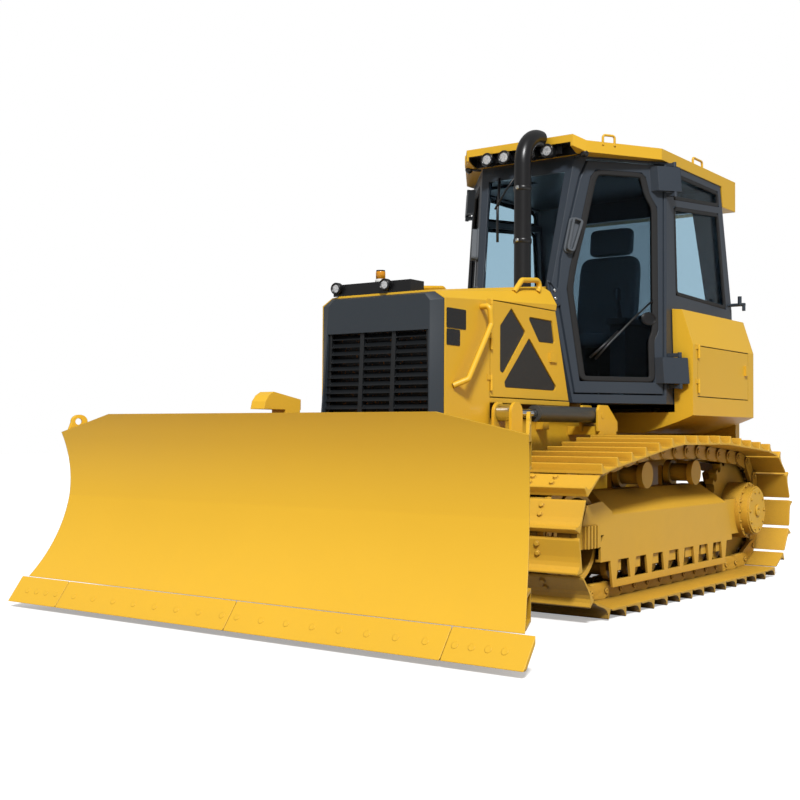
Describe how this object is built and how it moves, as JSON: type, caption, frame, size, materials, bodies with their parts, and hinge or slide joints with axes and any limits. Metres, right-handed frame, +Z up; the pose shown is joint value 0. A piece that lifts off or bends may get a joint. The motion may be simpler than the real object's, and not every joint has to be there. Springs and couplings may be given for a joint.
{
  "type": "crawler dozer",
  "caption": "Tracked dozer with a swinging, tilting blade on an inside lift frame, a six-sided cab with a door on each side, and a hinged-door engine hood.",
  "frame": {"origin": "on the ground under the middle of the machine's length and width", "axes": "+X is the machine's left, -Y the front (blade), +Z up"},
  "size_m": [3.222, 4.5, 2.878],
  "materials": {
    "yellow_paint": "gloss",
    "frame_grey": "satin",
    "black_paint": "satin",
    "track_paint": "satin",
    "rod_chrome": "polished",
    "engine_paint": "satin",
    "radiator_core": "matte",
    "clear_glass": "clear",
    "seat_fabric": "woven",
    "black_plastic": "matte",
    "edge_paint": "satin"
  },
  "bodies": {
    "machine": {"track_left": "track_paint", "track_right": "track_paint", "final_drives": "yellow_paint", "idlers": "track_paint", "track_frames": "yellow_paint", "rollers": "track_paint", "main_frame": "yellow_paint", "outriggers": "yellow_paint", "engine_block": "engine_paint", "hood": "yellow_paint", "hood_cap": "frame_grey", "grille": "frame_grey", "radiator": "radiator_core", "lamps": "black_paint", "exhaust_stack": "black_paint", "cab_frame": "frame_grey", "cab_roof": "yellow_paint", "cab_glass": "clear_glass", "seat": "seat_fabric", "console": "black_plastic", "rear_body": "yellow_paint", "handrails": "yellow_paint"},
    "lift_frame": {"c_frame": "yellow_paint"},
    "swing_yoke": {"blade_yoke": "yellow_paint"},
    "blade": {"blade": "yellow_paint", "blade_edges": "edge_paint", "blade_eyes": "yellow_paint"},
    "tilt_barrel": {"tilt_barrel": "frame_grey"},
    "tilt_rod": {"tilt_rod": "rod_chrome"},
    "engine_door_left": {"engine_door_left": "yellow_paint"},
    "cab_door_left": {"cab_door_left": "frame_grey", "door_glass_left": "clear_glass"},
    "service_door_left": {"service_door_left": "yellow_paint"},
    "lift_barrel_left": {"lift_barrel_left": "frame_grey"},
    "lift_rod_left": {"lift_rod_left": "rod_chrome"},
    "angle_barrel_left": {"angle_barrel_left": "frame_grey"},
    "angle_rod_left": {"angle_rod_left": "rod_chrome"},
    "engine_door_right": {"engine_door_right": "yellow_paint"},
    "cab_door_right": {"cab_door_right": "frame_grey", "door_glass_right": "clear_glass"},
    "service_door_right": {"service_door_right": "yellow_paint"},
    "lift_barrel_right": {"lift_barrel_right": "frame_grey"},
    "lift_rod_right": {"lift_rod_right": "rod_chrome"},
    "angle_barrel_right": {"angle_barrel_right": "frame_grey"},
    "angle_rod_right": {"angle_rod_right": "rod_chrome"}
  },
  "joints": [
    {"name": "blade_lift", "type": "hinge", "parent": "machine", "child": "lift_frame", "pos_m": [0, 0.35, 0.45], "axis": [-1, 0, 0], "range_deg": [-10, 17]},
    {"name": "blade_angle", "type": "hinge", "parent": "lift_frame", "child": "swing_yoke", "pos_m": [0, -1.6, 0.45], "axis": [0, 0, 1], "range_deg": [-25, 25]},
    {"name": "blade_tilt", "type": "hinge", "parent": "swing_yoke", "child": "blade", "pos_m": [0, -1.87, 0.47], "axis": [0, 1, 0], "range_deg": [-8, 8]},
    {"name": "lift_barrel_pivot_left", "type": "hinge", "parent": "machine", "child": "lift_barrel_left", "pos_m": [0.507, 0.48, 1.072], "axis": [-1, 0, 0], "range_deg": [-10.5, 16.5]},
    {"name": "lift_rod_slide_left", "type": "slide", "parent": "lift_barrel_left", "child": "lift_rod_left", "axis": [0, -1, -0.0039], "range_m": [-0.19, 0.115]},
    {"name": "angle_barrel_pivot_left", "type": "hinge", "parent": "lift_frame", "child": "angle_barrel_left", "pos_m": [0.47, -0.75, 0.58], "axis": [0, 0, 1], "range_deg": [-5, 5]},
    {"name": "angle_rod_slide_left", "type": "slide", "parent": "angle_barrel_left", "child": "angle_rod_left", "axis": [0.0929, -0.9957, 0], "range_m": [-0.24, 0.24]},
    {"name": "cab_door_hinge_left", "type": "hinge", "parent": "machine", "child": "cab_door_left", "pos_m": [0.83248, 1.02199, 1.91], "axis": [-0.0468, 0.0399, 0.9981], "range_deg": [0, 75]},
    {"name": "engine_door_hinge_left", "type": "hinge", "parent": "machine", "child": "engine_door_left", "pos_m": [0.425, -0.586, 1.4], "axis": [0, 0, -1], "range_deg": [0, 85]},
    {"name": "service_door_hinge_left", "type": "hinge", "parent": "machine", "child": "service_door_left", "pos_m": [0.925, 1.146, 1.36], "axis": [0, 0, -1], "range_deg": [0, 85]},
    {"name": "lift_barrel_pivot_right", "type": "hinge", "parent": "machine", "child": "lift_barrel_right", "pos_m": [-0.507, 0.48, 1.072], "axis": [-1, 0, 0], "range_deg": [-10.5, 16.5]},
    {"name": "lift_rod_slide_right", "type": "slide", "parent": "lift_barrel_right", "child": "lift_rod_right", "axis": [0, -1, -0.0039], "range_m": [-0.19, 0.115]},
    {"name": "angle_barrel_pivot_right", "type": "hinge", "parent": "lift_frame", "child": "angle_barrel_right", "pos_m": [-0.47, -0.75, 0.58], "axis": [0, 0, 1], "range_deg": [-5, 5]},
    {"name": "angle_rod_slide_right", "type": "slide", "parent": "angle_barrel_right", "child": "angle_rod_right", "axis": [-0.0929, -0.9957, 0], "range_m": [-0.24, 0.24]},
    {"name": "cab_door_hinge_right", "type": "hinge", "parent": "machine", "child": "cab_door_right", "pos_m": [-0.83248, 1.02199, 1.91], "axis": [-0.0468, -0.0399, -0.9981], "range_deg": [0, 75]},
    {"name": "engine_door_hinge_right", "type": "hinge", "parent": "machine", "child": "engine_door_right", "pos_m": [-0.425, -0.586, 1.4], "axis": [0, 0, 1], "range_deg": [0, 85]},
    {"name": "service_door_hinge_right", "type": "hinge", "parent": "machine", "child": "service_door_right", "pos_m": [-0.925, 1.146, 1.36], "axis": [0, 0, 1], "range_deg": [0, 85]},
    {"name": "tilt_barrel_pivot", "type": "hinge", "parent": "swing_yoke", "child": "tilt_barrel", "pos_m": [0.065, -1.8, 0.9], "axis": [0, 1, 0], "range_deg": [-9, 9]},
    {"name": "tilt_rod_slide", "type": "slide", "parent": "tilt_barrel", "child": "tilt_rod", "axis": [0.9942, 0, -0.1075], "range_m": [-0.063, 0.063]}
  ],
  "couplings": [
    {"joint": "lift_barrel_pivot_left", "follows": "blade_lift", "ratio": 0.9},
    {"joint": "lift_rod_slide_left", "follows": "blade_lift", "m_per_rad": -0.63},
    {"joint": "angle_barrel_pivot_left", "follows": "blade_angle", "ratio": 0.1754},
    {"joint": "angle_rod_slide_left", "follows": "blade_angle", "m_per_rad": -0.5432},
    {"joint": "lift_barrel_pivot_right", "follows": "blade_lift", "ratio": 0.9},
    {"joint": "lift_rod_slide_right", "follows": "blade_lift", "m_per_rad": -0.63},
    {"joint": "angle_barrel_pivot_right", "follows": "blade_angle", "ratio": 0.1754},
    {"joint": "angle_rod_slide_right", "follows": "blade_angle", "m_per_rad": 0.5432},
    {"joint": "tilt_barrel_pivot", "follows": "blade_tilt", "ratio": 1.0328},
    {"joint": "tilt_rod_slide", "follows": "blade_tilt", "m_per_rad": 0.4328}
  ]
}
